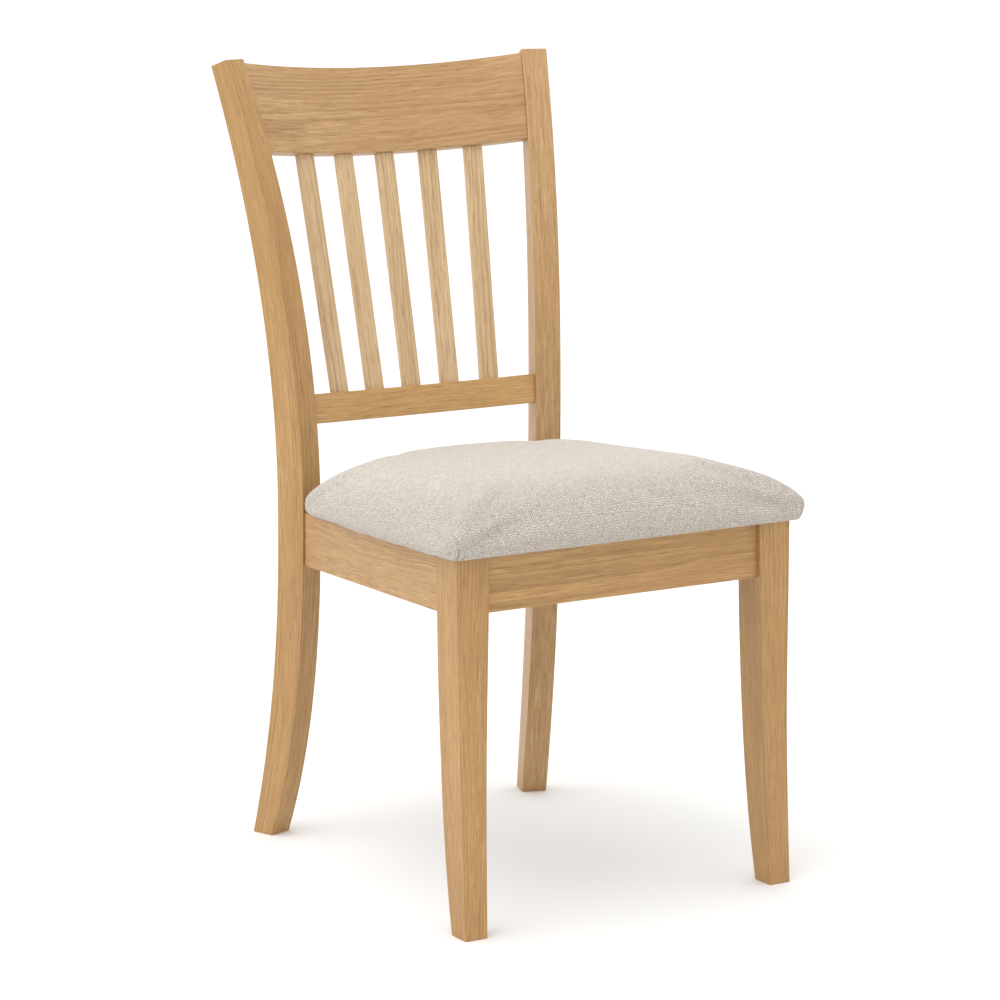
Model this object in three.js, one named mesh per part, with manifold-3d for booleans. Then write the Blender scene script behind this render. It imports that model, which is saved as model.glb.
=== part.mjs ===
// Dining chair: a slat-back oak frame with an upholstered seat pad.
//
// Millimetres, +Z up. The chair faces -Y and is symmetrical about x = 0.
// While it is built, y = 0 is the front of the front legs at the seat and
// z = 0 is the floor; at the end the whole chair is centred over its own
// footprint. "left" pieces lie at -X, as seen from the front.
import * as THREE from 'three';
import { mergeVertices } from 'three/addons/utils/BufferGeometryUtils.js';
import Module from 'manifold-3d';

const wasm = await Module();
wasm.setup();

// Driving dimensions: the whole chair.
const overallHeight = 990;     // front corner of the post tops
const seatHeight = 451;        // top of the seat frame above the front legs
const seatSlope = 0.049;       // fall of the seat frame per mm toward the back
const frontWidth = 466;        // across the outer faces of the front legs
const postSpacing = 365.8;     // between the post centres at the bend
const frameDepth = 468.5;      // front of the legs to the post centres at the bend
const fit = 0.3;               // gap between pieces that touch

// Back posts: one bent piece each, from sabre foot to raked top.
const bendBelowSeat = 11;      // the bend lies this far under the seat frame's top
const postWidth = 33.8;
const postDepth = 43.1;
const postToeIn = THREE.MathUtils.degToRad(19.4);
const postFoot = { flare: 16, kick: 55, thinning: 11.6 };
const postTop = { flare: 42.6, lean: 100, thinning: 15.9, cut: 8.5 };

// Front legs: straight outer faces, tapered inside and behind, feet swept forward.
const legTop = { width: 41.5, depth: 44.3 };
const legFoot = { taper: 11.7, sweep: 15.9, backTaper: 28.5 };
const legHead = { out: 2.3, front: 1.6, inward: 0.6, from: 0.1, to: 0.65 };  // swelling round the seat frame

// Seat frame.
const railHeight = 67.5;
const railThickness = 22;
const frontRailSetback = 4.8;
const sideRailInset = 2.4;
const rearRailBehindCorner = 3;  // rear rail's face behind the posts' inner front corners

// Back: crest rail, lower rail and slats.
const crest = { top: 985, bottom: 876.3, bow: 36.2, thickness: 20, setback: 2, tenon: 18 };
const lowerRail = { top: 575, bottom: 538.7, bow: 22.5, thickness: 22, setback: 4.6, rake: 0.21, tenon: 18 };
const slat = {
  count: 5, width: 24.3, thickness: 9.6, topPitch: 61, bottomPitch: 54.2,
  behindMiddle: 1.5, tenon: 14, shoulder: 2,
};
const tenonCheek = 5;          // a rail's thickness beside its tenon
const tenonEdge = 9;           // a rail's height above and below its tenon

// Joinery hardware.
const dowel = { radius: 4, length: 34, pitch: 32, intoPost: 13 };
const block = { arm: 62, height: 26, drop: 5 };
const screw = { headRadius: 4, headHeight: 2.6, radius: 2, hole: 2.5, intoRail: 12, intoBoard: 8 };
const counterbore = { radius: 5, depth: 4 };

// Seat pad, measured above the seat frame's sloping top.
const pad = {
  frontHalf: frontWidth / 2 + 21, rearHalf: postSpacing / 2 + 23.1,
  front: -21, rear: frameDepth - postDepth / 2 - 4.95, rearBow: 37, postClearance: 8.8,
  frontCorner: 20, rearCorner: 46, edge: 38, dome: 46, roll: 2.4,
};
const dustCover = { lift: 0.3, thickness: 0.8, scale: 0.9 };
const hem = { lift: 1.4, scale: 0.87 };
const fabricThickness = 1.4;
const board = { thickness: 12, scale: 0.955 };

const oak = new THREE.MeshStandardMaterial({ color: '#c79f66', roughness: 0.5 });
const beech = new THREE.MeshStandardMaterial({ color: '#d2ab7c', roughness: 0.6 });
const ply = new THREE.MeshStandardMaterial({ color: '#cbb089', roughness: 0.75 });
const foam = new THREE.MeshStandardMaterial({ color: '#e6dcb8', roughness: 0.95 });
const fabric = new THREE.MeshStandardMaterial({ color: '#d9d0c3', roughness: 0.95 });
const lining = new THREE.MeshStandardMaterial({ color: '#26262a', roughness: 0.9 });
const steel = new THREE.MeshStandardMaterial({ color: '#b9b39a', roughness: 0.4, metalness: 0.9 });

const chair = new THREE.Group();

// ---------------------------------------------------------------- helpers

const lerp = THREE.MathUtils.lerp;
const clamp01 = (value) => THREE.MathUtils.clamp(value, 0, 1);
const seatTop = (y) => seatHeight - seatSlope * y;

function bare(geometry) {
  const copy = geometry.clone();
  copy.deleteAttribute('normal');
  copy.deleteAttribute('uv');
  return mergeVertices(copy);
}

// Moves every vertex of a unit shape to place(x, y, z).
function warp(geometry, place) {
  const shape = bare(geometry);
  const position = shape.attributes.position;
  for (let i = 0; i < position.count; i += 1) {
    const [x, y, z] = place(position.getX(i), position.getY(i), position.getZ(i));
    position.setXYZ(i, x, y, z);
  }
  return shape;
}

function toSolid(geometry) {
  const shape = bare(geometry);
  return new wasm.Manifold(new wasm.Mesh({
    numProp: 3,
    vertProperties: new Float32Array(shape.attributes.position.array),
    triVerts: new Uint32Array(shape.index.array),
  }));
}

function toGeometry(solid) {
  const mesh = solid.getMesh();
  const geometry = new THREE.BufferGeometry();
  geometry.setAttribute('position', new THREE.BufferAttribute(new Float32Array(mesh.vertProperties), 3));
  geometry.setIndex(new THREE.BufferAttribute(new Uint32Array(mesh.triVerts), 1));
  return geometry;
}

const cutAll = (solid, tools) => tools.reduce((left, tool) => left.subtract(tool), solid);

function addPiece(name, solid, material) {
  const geometry = toGeometry(solid);
  geometry.computeVertexNormals();
  const mesh = new THREE.Mesh(geometry, material);
  mesh.name = name;
  chair.add(mesh);
}

// A geometry standing on the XZ plane along +Y, moved to start and turned along direction.
function along(geometry, start, direction) {
  const up = new THREE.Vector3(0, 1, 0);
  const turn = new THREE.Quaternion().setFromUnitVectors(up, direction.clone().normalize());
  return geometry.clone().applyQuaternion(turn).translate(start.x, start.y, start.z);
}

function rod(start, direction, length, radius, sides = 12) {
  const geometry = new THREE.CylinderGeometry(radius, radius, length, sides).translate(0, length / 2, 0);
  return toSolid(along(geometry, start, direction));
}

// ------------------------------------------------------- posts and legs

const bendHeight = seatHeight - bendBelowSeat;
const belowBend = (z) => clamp01((bendHeight - z) / bendHeight);
const aboveBend = (z) => clamp01((z - bendHeight) / (overallHeight - bendHeight));

function postSection(z) {
  const low = belowBend(z);
  const high = aboveBend(z);
  return {
    x: postSpacing / 2 + postFoot.flare * low ** 2.9 + postTop.flare * high ** 1.75,
    y: frameDepth + postFoot.kick * low ** 2.2 + postTop.lean * high ** 2.1,
    depth: postDepth - postFoot.thinning * low ** 4.2 - postTop.thinning * high ** 2.4,
  };
}

// Right post: across runs outward, back runs rearward, both -0.5 to 0.5.
function postPoint(across, back, z, grow = 0) {
  const { x, y, depth } = postSection(z);
  const a = across * (postWidth + 2 * grow);
  const b = back * (depth + 2 * grow);
  return [
    x + a * Math.cos(postToeIn) + b * Math.sin(postToeIn),
    y - a * Math.sin(postToeIn) + b * Math.cos(postToeIn),
    z,
  ];
}

function postSolid(side, grow = 0) {
  const steps = 16;
  return toSolid(warp(new THREE.BoxGeometry(1, 1, 1, 1, 1, steps), (u, v, w) => {
    const level = w + 0.5;
    const z = level * overallHeight - postTop.cut * (v + 0.5) * level ** 12;
    const [x, y] = postPoint(u * side, v, z, grow);
    return [x * side, y, z];
  }));
}

const legInnerX = (drop) => {
  const head = 1 - THREE.MathUtils.smoothstep(drop, legHead.from, legHead.to);
  return frontWidth / 2 - legTop.width + legFoot.taper * drop ** 1.15 - legHead.inward * head;
};

function legSolid(side, grow = 0) {
  const steps = 10;
  return toSolid(warp(new THREE.BoxGeometry(1, 1, 1, 1, 1, steps), (u, v, w) => {
    const drop = 0.5 - w;
    const head = 1 - THREE.MathUtils.smoothstep(drop, legHead.from, legHead.to);
    const outer = frontWidth / 2 + legHead.out * head + grow;
    const inner = legInnerX(drop) - grow;
    const front = -legFoot.sweep * drop ** 1.9 - legHead.front * head - grow;
    const rear = legTop.depth - legFoot.backTaper * drop ** 3.1 + grow;
    const y = lerp(front, rear, v + 0.5);
    const z = (1 - drop) * (seatTop(y) + grow);
    return [side * lerp(inner, outer, u * side + 0.5), y, z];
  }));
}

// ------------------------------------------------------------ seat rails

const railBox = () => new THREE.BoxGeometry(1, 1, 1);
const railZ = (y, w, grow) => lerp(seatTop(y) - railHeight - grow, seatTop(y) + grow, w + 0.5);

function frontRailSolid(grow = 0) {
  const halfLength = frontWidth / 2 - legTop.width / 2;
  return toSolid(warp(railBox(), (u, v, w) => {
    const y = frontRailSetback + railThickness / 2 + v * (railThickness + 2 * grow);
    const level = frontRailSetback + railThickness / 2;
    return [u * 2 * halfLength, y, w < 0 ? seatTop(level) - railHeight - grow : seatTop(y) + grow];
  }));
}

const innerCorner = postPoint(-0.5, -0.5, bendHeight);
const outerCorner = postPoint(0.5, -0.5, bendHeight);
const rearRailY = innerCorner[1] + rearRailBehindCorner + railThickness / 2;

function rearRailSolid(grow = 0) {
  const halfLength = postSpacing / 2;
  return toSolid(warp(railBox(), (u, v, w) => {
    const y = rearRailY + v * (railThickness + 2 * grow);
    return [u * 2 * halfLength, y, railZ(y, w, grow)];
  }));
}

// Plan line of a side rail's outer face, as x for a given y.
const sideRailFront = legTop.depth;
const sideRailRear = outerCorner[1];
const sideRailX = (y) => lerp(
  frontWidth / 2 + legHead.out - sideRailInset,
  outerCorner[0] - sideRailInset,
  (y - sideRailFront) / (sideRailRear - sideRailFront),
);

// Plan line of a post's front face at the seat, as y for a given x.
const postFaceY = (x) => lerp(
  outerCorner[1],
  innerCorner[1],
  (outerCorner[0] - x) / (outerCorner[0] - innerCorner[0]),
);

// The box runs a little into the leg and the post, which then trim it.
function sideRailSolid(side, grow = 0) {
  const overrun = 3;
  return toSolid(warp(railBox(), (u, v, w) => {
    const half = u * side * (railThickness + 2 * grow) - railThickness / 2;
    const rear = postFaceY(sideRailX(sideRailRear) + half) + overrun;
    const y = lerp(sideRailFront - overrun, rear, v + 0.5);
    const x = sideRailX(y) + half;
    return [x * side, y, railZ(y, w, grow)];
  }));
}

// ------------------------------------------------- crest and lower rail

// A point of a bowed rail between the posts. across is -1 to 1 at the posts'
// inner faces, back is the distance behind the front face, rake the slope of
// the rail's face and bow the set-back of its middle, square to that face.
function bowedPoint({ across, back, halfWidth, frontY, z, rake, bow }) {
  const tilt = Math.atan(rake);
  const turn = postToeIn * across;
  const depth = bow * (1 - across * across) + back * Math.cos(turn);
  return [
    halfWidth * across + back * Math.sin(turn),
    frontY + depth * Math.cos(tilt),
    z - depth * Math.sin(tilt),
  ];
}

function crestPoint(across, back, z) {
  const step = 1;
  const [halfWidth, cornerY] = postPoint(-0.5, -0.5, z);
  const frontY = cornerY + crest.setback;
  const rake = (postPoint(-0.5, -0.5, z + step)[1] - postPoint(-0.5, -0.5, z - step)[1]) / (2 * step);
  return bowedPoint({ across, back, halfWidth, frontY, z, rake, bow: crest.bow });
}

function lowerRailPoint(across, back, z) {
  const middle = (lowerRail.top + lowerRail.bottom) / 2;
  const [halfWidth] = postPoint(-0.5, -0.5, z);
  const cornerY = postPoint(-0.5, -0.5, middle)[1];
  const frontY = cornerY + lowerRail.setback + (z - middle) * lowerRail.rake;
  return bowedPoint({ across, back, halfWidth, frontY, z, rake: lowerRail.rake, bow: lowerRail.bow });
}

// A rail's body or tenon: reach is how far it runs past the posts' inner faces.
function bowedSolid(point, size, { cheek = 0, edge = 0, reach, steps, rows, grow = 0 }) {
  const halfWidth = postPoint(-0.5, -0.5, (size.top + size.bottom) / 2)[0];
  const end = 1 + (reach + grow) / halfWidth;
  return toSolid(warp(new THREE.BoxGeometry(1, 1, 1, steps, 1, rows), (u, v, w) => point(
    2 * u * end,
    lerp(cheek - grow, size.thickness - cheek + grow, v + 0.5),
    lerp(size.bottom + edge - grow, size.top - edge + grow, w + 0.5),
  )));
}

const bodyReach = postWidth / 3;
const crestBody = () => bowedSolid(crestPoint, crest, { reach: bodyReach, steps: 20, rows: 4 });
const crestTenon = (grow) => bowedSolid(
  crestPoint, crest, { cheek: tenonCheek, edge: tenonEdge, reach: crest.tenon, steps: 20, rows: 2, grow },
);
const lowerBody = () => bowedSolid(lowerRailPoint, lowerRail, { reach: bodyReach, steps: 16, rows: 1 });
const lowerTenon = (grow) => bowedSolid(
  lowerRailPoint,
  lowerRail,
  { cheek: tenonCheek, edge: tenonEdge, reach: lowerRail.tenon, steps: 16, rows: 1, grow },
);

// ---------------------------------------------------------------- slats

// Slat ends stand just behind the middle of each rail's thickness.
function slatEnds(index) {
  const place = index - (slat.count - 1) / 2;
  const topHalf = postPoint(-0.5, -0.5, crest.bottom)[0];
  const bottomHalf = postPoint(-0.5, -0.5, lowerRail.top)[0];
  const topAcross = (place * slat.topPitch) / topHalf;
  const bottomAcross = (place * slat.bottomPitch) / bottomHalf;
  const topBack = crest.thickness / 2 + slat.behindMiddle;
  const bottomBack = lowerRail.thickness / 2 + slat.behindMiddle;
  return {
    top: new THREE.Vector3(...crestPoint(topAcross, topBack, crest.bottom)),
    bottom: new THREE.Vector3(...lowerRailPoint(bottomAcross, bottomBack, lowerRail.top)),
    topTurn: -postToeIn * topAcross,
    bottomTurn: -postToeIn * bottomAcross,
  };
}

function slatSolid(index, { shrink = 0, past = 0 } = {}) {
  const ends = slatEnds(index);
  const length = ends.top.distanceTo(ends.bottom);
  return toSolid(warp(new THREE.BoxGeometry(1, 1, 1, 1, 1, 4), (u, v, w) => {
    const step = 0.5 + w * (1 + (2 * past) / length);
    const centre = ends.bottom.clone().lerp(ends.top, step);
    const turn = lerp(ends.bottomTurn, ends.topTurn, step);
    const a = u * (slat.width - 2 * shrink);
    const b = v * (slat.thickness - 2 * shrink);
    return [
      centre.x + a * Math.cos(turn) - b * Math.sin(turn),
      centre.y + a * Math.sin(turn) + b * Math.cos(turn),
      centre.z,
    ];
  }));
}

// --------------------------------------------------------- seat joinery

const forward = new THREE.Vector3(0, -1, 0);
const rearward = new THREE.Vector3(0, 1, 0);
const outward = (side) => new THREE.Vector3(side, 0, 0);

// Two dowels, one above the other, about the middle of a rail's height.
function dowelPair(name, start, direction) {
  return ['upper', 'lower'].map((level, i) => {
    const middle = seatTop(start.y) - railHeight / 2;
    const from = start.clone().setZ(middle + (0.5 - i) * dowel.pitch);
    return { name: `dowel_${name}_${level}`, from, direction };
  });
}

function dowelPlan(side) {
  const word = side < 0 ? 'left' : 'right';
  const half = dowel.length / 2;
  const legInner = legInnerX(0);
  const frontY = frontRailSetback + railThickness / 2;
  const legX = sideRailX(sideRailFront) - railThickness / 2;
  const postX = sideRailX(sideRailRear) - railThickness / 2;
  const innerFaceX = innerCorner[0] + (rearRailY - innerCorner[1]) * Math.tan(postToeIn);
  const sideFront = new THREE.Vector3(side * legX, sideRailFront - half, 0);
  const rearEnd = new THREE.Vector3(side * (innerFaceX - half), rearRailY, 0);
  return [
    ...dowelPair(`front_rail_${word}`, new THREE.Vector3(side * (legInner - half), frontY, 0), outward(side)),
    ...dowelPair(`side_rail_${word}_front`, sideFront, rearward),
    ...dowelPair(
      `side_rail_${word}_rear`,
      new THREE.Vector3(side * postX, postFaceY(postX) + dowel.intoPost - dowel.length, 0),
      rearward,
    ),
    ...dowelPair(`rear_rail_${word}`, rearEnd, outward(side)),
  ];
}

const dowels = [-1, 1].flatMap(dowelPlan);
const dowelHoles = dowels.map(({ from, direction }) => {
  const start = from.clone().addScaledVector(direction, -fit);
  return rod(start, direction, dowel.length + 2 * fit, dowel.radius + fit);
});

// Corner blocks: level triangular blocks glued and screwed across each corner.
const corners = [-1, 1].flatMap((side) => ['front', 'rear'].map((end) => ({ side, end })));

function blockPlan({ side, end }) {
  const atFront = end === 'front';
  const faceY = atFront ? frontRailSetback + railThickness : rearRailY - railThickness / 2;
  const inward = atFront ? 1 : -1;
  const outerX = sideRailX(faceY + inward * block.arm / 2) - railThickness;
  const overlap = 6;
  const tip = new THREE.Vector2(side * (outerX - block.arm), faceY);
  const tail = new THREE.Vector2(side * outerX, faceY + inward * block.arm);
  const middleZ = seatTop(faceY + inward * block.arm / 2);
  return { side, end, faceY, inward, outerX, overlap, tip, tail, top: middleZ - block.drop };
}

function blockSolid(plan) {
  const { side, faceY, inward, outerX, overlap, tip, tail, top } = plan;
  const outline = new THREE.Shape([
    new THREE.Vector2(tip.x, faceY - inward * overlap),
    new THREE.Vector2(side * (outerX + overlap), faceY - inward * overlap),
    new THREE.Vector2(side * (outerX + overlap), tail.y),
    tail,
    tip,
  ]);
  const geometry = new THREE.ExtrudeGeometry(outline, { depth: block.height, bevelEnabled: false });
  return toSolid(geometry.translate(0, 0, top - block.height));
}

// Screws of one corner: one into each rail and one up into the seat board.
function cornerScrews(plan) {
  const { side, end, faceY, inward, outerX, top } = plan;
  const word = side < 0 ? 'left' : 'right';
  const share = 0.3;
  const middleZ = top - block.height / 2;
  const railX = side * (outerX - block.arm * (1 - share));
  const railY = faceY + inward * block.arm * share;
  const sideY = faceY + inward * block.arm * (1 - share);
  const sideX = side * (outerX - block.arm * share);
  const boardX = side * (outerX - block.arm * 0.36);
  const boardY = faceY + inward * block.arm * 0.36;
  const railEnd = faceY - inward * screw.intoRail;
  const sideEnd = side * (sideRailX(sideY) - railThickness + screw.intoRail);
  const seatFrom = top - block.height;
  const boardBottom = seatTop(boardY) + hem.lift + fabricThickness + fit;
  return [
    {
      name: `block_screw_${end}_${word}_cross`,
      from: new THREE.Vector3(railX, railY, middleZ),
      to: new THREE.Vector3(railX, railEnd, middleZ),
    },
    {
      name: `block_screw_${end}_${word}_side`,
      from: new THREE.Vector3(sideX, sideY, middleZ),
      to: new THREE.Vector3(sideEnd, sideY, middleZ),
    },
    {
      name: `seat_screw_${end}_${word}`,
      from: new THREE.Vector3(boardX, boardY, seatFrom),
      to: new THREE.Vector3(boardX, boardY, boardBottom + screw.intoBoard),
    },
  ].map(({ name, from, to }) => {
    const direction = to.clone().sub(from).normalize();
    const seat = from.clone().addScaledVector(direction, counterbore.depth);
    return { name, from, seat, to, direction };
  });
}

function screwSolid({ seat, to, direction }) {
  const length = seat.distanceTo(to);
  const { headRadius, headHeight, radius } = screw;
  const tip = 4;
  const profile = [[0, 0], [headRadius, 0], [radius, headHeight], [radius, length - tip], [0, length]];
  const geometry = new THREE.LatheGeometry(profile.map(([x, y]) => new THREE.Vector2(x, y)), 10);
  return toSolid(along(geometry, seat, direction));
}

function screwHole({ from, seat, to, direction }) {
  const above = from.clone().addScaledVector(direction, -block.arm / 2);
  const bore = rod(above, direction, above.distanceTo(seat) + screw.headHeight, counterbore.radius);
  const shank = rod(seat, direction, seat.distanceTo(to) + fit, screw.hole);
  return bore.add(shank);
}

const blockPlans = corners.map(blockPlan);
const screws = blockPlans.flatMap(cornerScrews);
const screwHoles = screws.map(screwHole);

// ------------------------------------------------------------- seat pad

// Plan outline of the pad: a trapezium with round corners. Its back runs
// between the posts to cover the rear rail.
function padOutline(points) {
  const { frontHalf, rearHalf, front, rear, frontCorner, rearCorner } = pad;
  const bowHalf = innerCorner[0] - pad.postClearance;
  const bowY = rear + (pad.rearBow * 4) / 3;
  const lean = (frontHalf - rearHalf) / (rear - front);
  const sideX = (y) => frontHalf - lean * (y - front);
  const outline = new THREE.Path();
  outline.moveTo(0, front);
  outline.lineTo(frontHalf - frontCorner, front);
  outline.quadraticCurveTo(frontHalf, front, sideX(front + frontCorner), front + frontCorner);
  outline.lineTo(sideX(rear - rearCorner), rear - rearCorner);
  outline.quadraticCurveTo(rearHalf, rear, rearHalf - rearCorner, rear);
  outline.bezierCurveTo(bowHalf, bowY, -bowHalf, bowY, rearCorner - rearHalf, rear);
  outline.quadraticCurveTo(-rearHalf, rear, -sideX(rear - rearCorner), rear - rearCorner);
  outline.lineTo(-sideX(front + frontCorner), front + frontCorner);
  outline.quadraticCurveTo(-frontHalf, front, frontCorner - frontHalf, front);
  outline.closePath();
  return outline.getSpacedPoints(points).slice(0, points);
}

const padPoints = 72;
const outline = padOutline(padPoints);
const padCentre = new THREE.Vector2(0, (pad.front + pad.rear) / 2);

// The lip that hangs below the top of the frame ends before the rear corners,
// where the pad stands on the rails.
function hangingHeight(height, y) {
  const hang = 1 - THREE.MathUtils.smoothstep(y, pad.rear * 0.55, pad.rear * 0.8);
  return height < hem.lift ? lerp(hem.lift, height, hang) : height;
}

// Turns a profile of [share of the outline, height above the frame] into a solid.
function padSolid(profile) {
  const lathe = new THREE.LatheGeometry(profile.map(([r, h]) => new THREE.Vector2(r, h)), padPoints);
  return toSolid(warp(lathe, (x, h, z) => {
    const share = Math.hypot(x, z);
    const turn = (Math.atan2(x, z) / (2 * Math.PI) + 1) % 1;
    const rim = outline[Math.round(turn * padPoints) % padPoints];
    const planX = padCentre.x + (rim.x - padCentre.x) * share;
    const planY = padCentre.y + (rim.y - padCentre.y) * share;
    return [planX, planY, seatTop(planY) + hangingHeight(h, planY)];
  }));
}

// Height of the upholstered crown at a share of the outline.
const crown = (share) => {
  const shoulder = pad.edge * (0.5 + 0.5 * Math.sqrt(1 - share ** 3.75));
  return shoulder + pad.dome * (1 - share ** 4.6);
};
const crownShares = [0, 0.3, 0.5, 0.65, 0.78, 0.88, 0.95, 0.985];
const inset = 0.008;           // share that the fabric's thickness takes off the outline

function coverProfile() {
  const bottom = hem.lift;
  const outer = crownShares.map((share) => [share, crown(share)]);
  const wall = [[1, pad.edge / 2], [0.997, pad.edge * 0.18]];
  const lip = [[0.99, -pad.roll / 2], [0.98, -pad.roll], [0.97, -pad.roll / 2], [0.966, bottom]];
  const turned = [[hem.scale, bottom], [hem.scale, bottom + fabricThickness]];
  const innerBottom = bottom + fabricThickness;
  const inside = [[0.964, innerBottom], [0.997 - inset, pad.edge * 0.2], [1 - inset, pad.edge / 2]];
  const lined = (share) => [share * (1 - inset), crown(share) - fabricThickness];
  const under = [...crownShares].reverse().map(lined);
  return [...outer, ...wall, ...lip, ...turned, ...inside, ...under].reverse();
}

const boardLift = hem.lift + fabricThickness + fit;
const foamLift = boardLift + board.thickness + fit;

function foamProfile() {
  const gap = inset * 1.5;
  const top = crownShares.map((share) => [share * (1 - gap), crown(share) - fabricThickness - 2 * fit]);
  return [...top, [1 - gap, pad.edge / 2], [0.99 - gap, foamLift], [0, foamLift]].reverse();
}

const slab = (scale, from, to) => [[0, from], [scale, from], [scale, to], [0, to]];

// ------------------------------------------------------------- assembly

for (const side of [-1, 1]) {
  const word = side < 0 ? 'left' : 'right';
  const post = cutAll(postSolid(side), [crestTenon(fit), lowerTenon(fit), ...dowelHoles]);
  addPiece(`back_post_${word}`, post, oak);
  addPiece(`front_leg_${word}`, cutAll(legSolid(side), dowelHoles), oak);
  const neighbours = [legSolid(side, fit), postSolid(side, fit)];
  const sideRail = cutAll(sideRailSolid(side), [...neighbours, ...dowelHoles, ...screwHoles]);
  addPiece(`side_rail_${word}`, sideRail, oak);
}

const grownPosts = [postSolid(-1, fit), postSolid(1, fit)];
const grownLegs = [legSolid(-1, fit), legSolid(1, fit)];

addPiece('front_rail', cutAll(frontRailSolid(), [...grownLegs, ...dowelHoles, ...screwHoles]), oak);
addPiece('rear_rail', cutAll(rearRailSolid(), [...grownPosts, ...dowelHoles, ...screwHoles]), oak);

const indices = Array.from({ length: slat.count }, (_, i) => i);
const slatPockets = indices.map((i) => slatSolid(i, { shrink: slat.shoulder - fit, past: slat.tenon + fit }));
addPiece('crest_rail', cutAll(cutAll(crestBody(), grownPosts).add(crestTenon(0)), slatPockets), oak);
addPiece('lower_back_rail', cutAll(cutAll(lowerBody(), grownPosts).add(lowerTenon(0)), slatPockets), oak);

const crestShadow = bowedSolid(crestPoint, crest, { reach: 0, steps: 20, rows: 4, grow: fit });
const lowerShadow = bowedSolid(lowerRailPoint, lowerRail, { reach: 0, steps: 16, rows: 1, grow: fit });
for (const i of indices) {
  const blade = cutAll(slatSolid(i, { past: slat.tenon }), [crestShadow, lowerShadow]);
  const tenons = slatSolid(i, { shrink: slat.shoulder, past: slat.tenon });
  addPiece(`back_slat_${i + 1}`, blade.add(tenons), oak);
}

for (const { name, from, direction } of dowels) {
  addPiece(name, rod(from, direction, dowel.length, dowel.radius), beech);
}

blockPlans.forEach((plan) => {
  const word = plan.side < 0 ? 'left' : 'right';
  const neighbours = [
    legSolid(plan.side, fit), postSolid(plan.side, fit), frontRailSolid(fit), rearRailSolid(fit),
    sideRailSolid(plan.side, fit),
  ];
  const cornerBlock = cutAll(blockSolid(plan), [...neighbours, ...screwHoles]);
  addPiece(`corner_block_${plan.end}_${word}`, cornerBlock, beech);
});

for (const item of screws) addPiece(item.name, screwSolid(item), steel);

const boardTop = boardLift + board.thickness;
addPiece('seat_board', cutAll(padSolid(slab(board.scale, boardLift, boardTop)), screwHoles), ply);
addPiece('seat_foam', padSolid(foamProfile()), foam);
addPiece('seat_cover', cutAll(padSolid(coverProfile()), screwHoles), fabric);
const liningSheet = padSolid(slab(dustCover.scale, dustCover.lift, dustCover.lift + dustCover.thickness));
addPiece('dust_cover', cutAll(liningSheet, screwHoles), lining);

const bounds = new THREE.Box3().setFromObject(chair);
const middle = bounds.getCenter(new THREE.Vector3());
chair.position.set(-middle.x, -middle.y, 0);
chair.updateMatrixWorld(true);

export default chair;
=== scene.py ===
# Dining chair: oak slat-back frame with an upholstered seat pad.
# Metres, +Z up, the chair faces -Y; "left" pieces stand at -X.
import bisect
import math

import bmesh
import bpy
from mathutils import Matrix, Vector


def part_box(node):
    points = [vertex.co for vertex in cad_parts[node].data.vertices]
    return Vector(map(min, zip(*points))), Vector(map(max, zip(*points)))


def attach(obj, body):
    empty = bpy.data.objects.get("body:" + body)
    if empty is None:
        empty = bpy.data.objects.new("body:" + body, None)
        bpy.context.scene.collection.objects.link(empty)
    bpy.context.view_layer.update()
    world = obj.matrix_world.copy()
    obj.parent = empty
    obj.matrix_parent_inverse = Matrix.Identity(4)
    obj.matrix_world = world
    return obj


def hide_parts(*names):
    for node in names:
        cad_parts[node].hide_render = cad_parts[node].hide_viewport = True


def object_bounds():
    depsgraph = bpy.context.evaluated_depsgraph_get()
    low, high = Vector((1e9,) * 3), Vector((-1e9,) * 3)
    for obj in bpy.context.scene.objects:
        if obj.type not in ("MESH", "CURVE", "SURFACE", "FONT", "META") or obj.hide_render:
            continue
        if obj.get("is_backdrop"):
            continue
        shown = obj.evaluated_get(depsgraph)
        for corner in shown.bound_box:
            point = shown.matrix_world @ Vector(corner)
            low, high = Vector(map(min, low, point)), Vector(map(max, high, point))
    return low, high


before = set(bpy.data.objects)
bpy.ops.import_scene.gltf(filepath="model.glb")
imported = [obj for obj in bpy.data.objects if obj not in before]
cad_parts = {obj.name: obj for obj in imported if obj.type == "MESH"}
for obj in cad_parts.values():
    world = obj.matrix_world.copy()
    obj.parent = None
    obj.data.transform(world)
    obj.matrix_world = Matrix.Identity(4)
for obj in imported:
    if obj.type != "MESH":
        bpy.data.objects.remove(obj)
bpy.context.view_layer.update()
print("frame loaded,", len(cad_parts), "nodes")

chair = {
    "height": 0.990,
    "seatHeight": 0.451,  # seat frame's top above the front legs
    "seatSlope": 0.049,  # it falls toward the back
    "frontWidth": 0.466,
    "postSpacing": 0.3658,
    "frameDepth": 0.4685,
    "gap": 0.0003,  # between pieces that touch
}


def clamp01(value):
    return max(0.0, min(1.0, value))


def lerp(a, b, share):
    return a + (b - a) * share


def smoothStep(value, low, high):
    share = clamp01((value - low) / (high - low))
    return share * share * (3 - 2 * share)


def seatTop(y):
    return chair["seatHeight"] - chair["seatSlope"] * y


sides = {"Left": -1, "Right": 1}


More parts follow.
